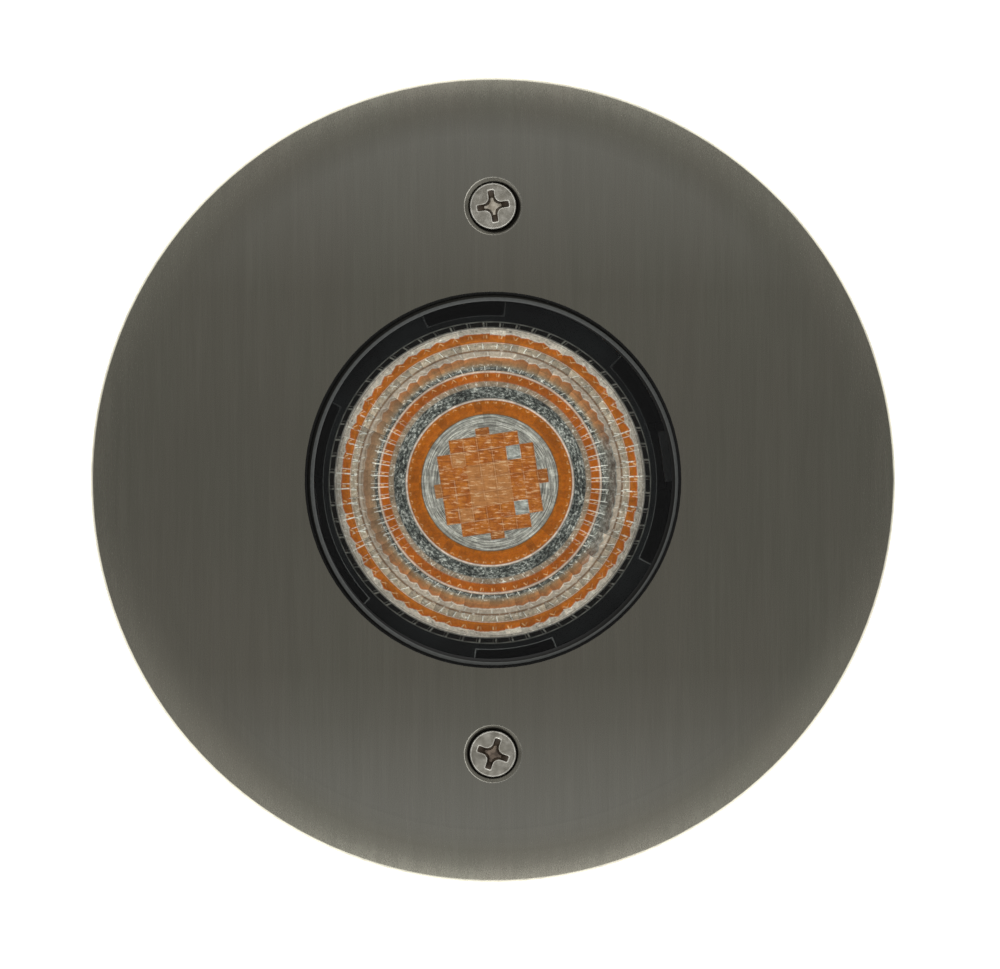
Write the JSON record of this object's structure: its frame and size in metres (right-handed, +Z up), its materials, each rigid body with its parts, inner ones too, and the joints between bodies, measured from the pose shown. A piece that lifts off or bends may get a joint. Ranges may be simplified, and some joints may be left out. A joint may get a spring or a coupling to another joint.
{
  "type": "in ground well light",
  "caption": "Round in-ground well light: brushed stainless faceplate over a sealed can, with an adjustable LED module behind a stepped glass window.",
  "frame": {"origin": "on the can's axis at ground level, which is the underside of its flange", "axes": "+Z up out of the ground, +Y through the top screw as pictured, +X towards the cable gland"},
  "size_m": [0.127, 0.127, 0.1005],
  "materials": {
    "brushed_stainless": "brushed along Y",
    "screw_stainless": "bright",
    "clear_glass": "polished, ground bevel",
    "black_silicone": "matte",
    "black_composite": "moulded",
    "gloss_black": "gloss",
    "natural_nylon": "matte",
    "white_holder": "satin",
    "brass": "machined",
    "bare_aluminium": "machined",
    "clear_acrylic": "moulded facets",
    "board_white": "ceramic",
    "phosphor": "silicone over LED chips",
    "pad_grey": "soft",
    "lead_black": "PVC"
  },
  "bodies": {
    "can": {"housing": "black_composite", "seat_ring": "black_composite", "brass_inserts": "brass", "cover_seal": "black_silicone", "glass_seal": "black_silicone", "gland_body": "black_composite", "gland_o_ring": "black_silicone", "gland_lock_nut": "black_composite", "gland_seal": "black_silicone", "terminal_block": "natural_nylon", "terminal_screws": "brass", "driver_case": "black_composite", "driver_screws": "screw_stainless", "input_leads": "lead_black", "output_leads": "lead_black", "lead_socket": "lead_black"},
    "cover": {"faceplate": "brushed_stainless", "window_bond": "black_silicone", "glass_window": "clear_glass"},
    "top_screw": {"top_screw": "screw_stainless", "top_screw_washer": "natural_nylon"},
    "bottom_screw": {"bottom_screw": "screw_stainless", "bottom_screw_washer": "natural_nylon"},
    "aiming_ring": {"aiming_ring": "black_composite"},
    "module": {"heat_sink": "bare_aluminium", "pivot_screws": "screw_stainless", "friction_washers": "natural_nylon", "thermal_pad": "pad_grey", "led_board": "board_white", "led_phosphor": "phosphor", "led_holder": "white_holder", "led_holder_screws": "screw_stainless", "optic_holder": "gloss_black", "optic_holder_screws": "screw_stainless", "optic": "clear_acrylic", "led_leads": "lead_black", "lead_plug": "lead_black"},
    "lens_ring": {"lens_ring": "gloss_black"},
    "gland_nut": {"gland_nut": "black_composite"}
  },
  "joints": [
    {"name": "cover_lift", "type": "slide", "parent": "can", "child": "cover", "axis": [0, 0, 1], "range_m": [0, 0.04]},
    {"name": "top_screw_turn", "type": "hinge", "parent": "cover", "child": "top_screw", "pos_m": [0, 0.0432, 0.0049], "axis": [0, 0, 1], "continuous": true},
    {"name": "bottom_screw_turn", "type": "hinge", "parent": "cover", "child": "bottom_screw", "pos_m": [0, -0.0432, 0.0049], "axis": [0, 0, 1], "continuous": true},
    {"name": "module_turn", "type": "hinge", "parent": "can", "child": "aiming_ring", "pos_m": [-0.0005, -0.00041, -0.0053], "axis": [0, 0, 1], "range_deg": [-180, 180]},
    {"name": "module_tilt", "type": "hinge", "parent": "aiming_ring", "child": "module", "pos_m": [-0.0005, -0.00041, -0.0272], "axis": [0.989, 0.1478, 0], "range_deg": [-15, 15]},
    {"name": "lens_ring_twist", "type": "hinge", "parent": "module", "child": "lens_ring", "pos_m": [-0.0005, -0.00041, -0.0092], "axis": [0, 0, 1], "range_deg": [0, 12]},
    {"name": "gland_nut_turn", "type": "hinge", "parent": "can", "child": "gland_nut", "pos_m": [0.043, 0, -0.0795], "axis": [1, 0, 0], "continuous": true}
  ]
}
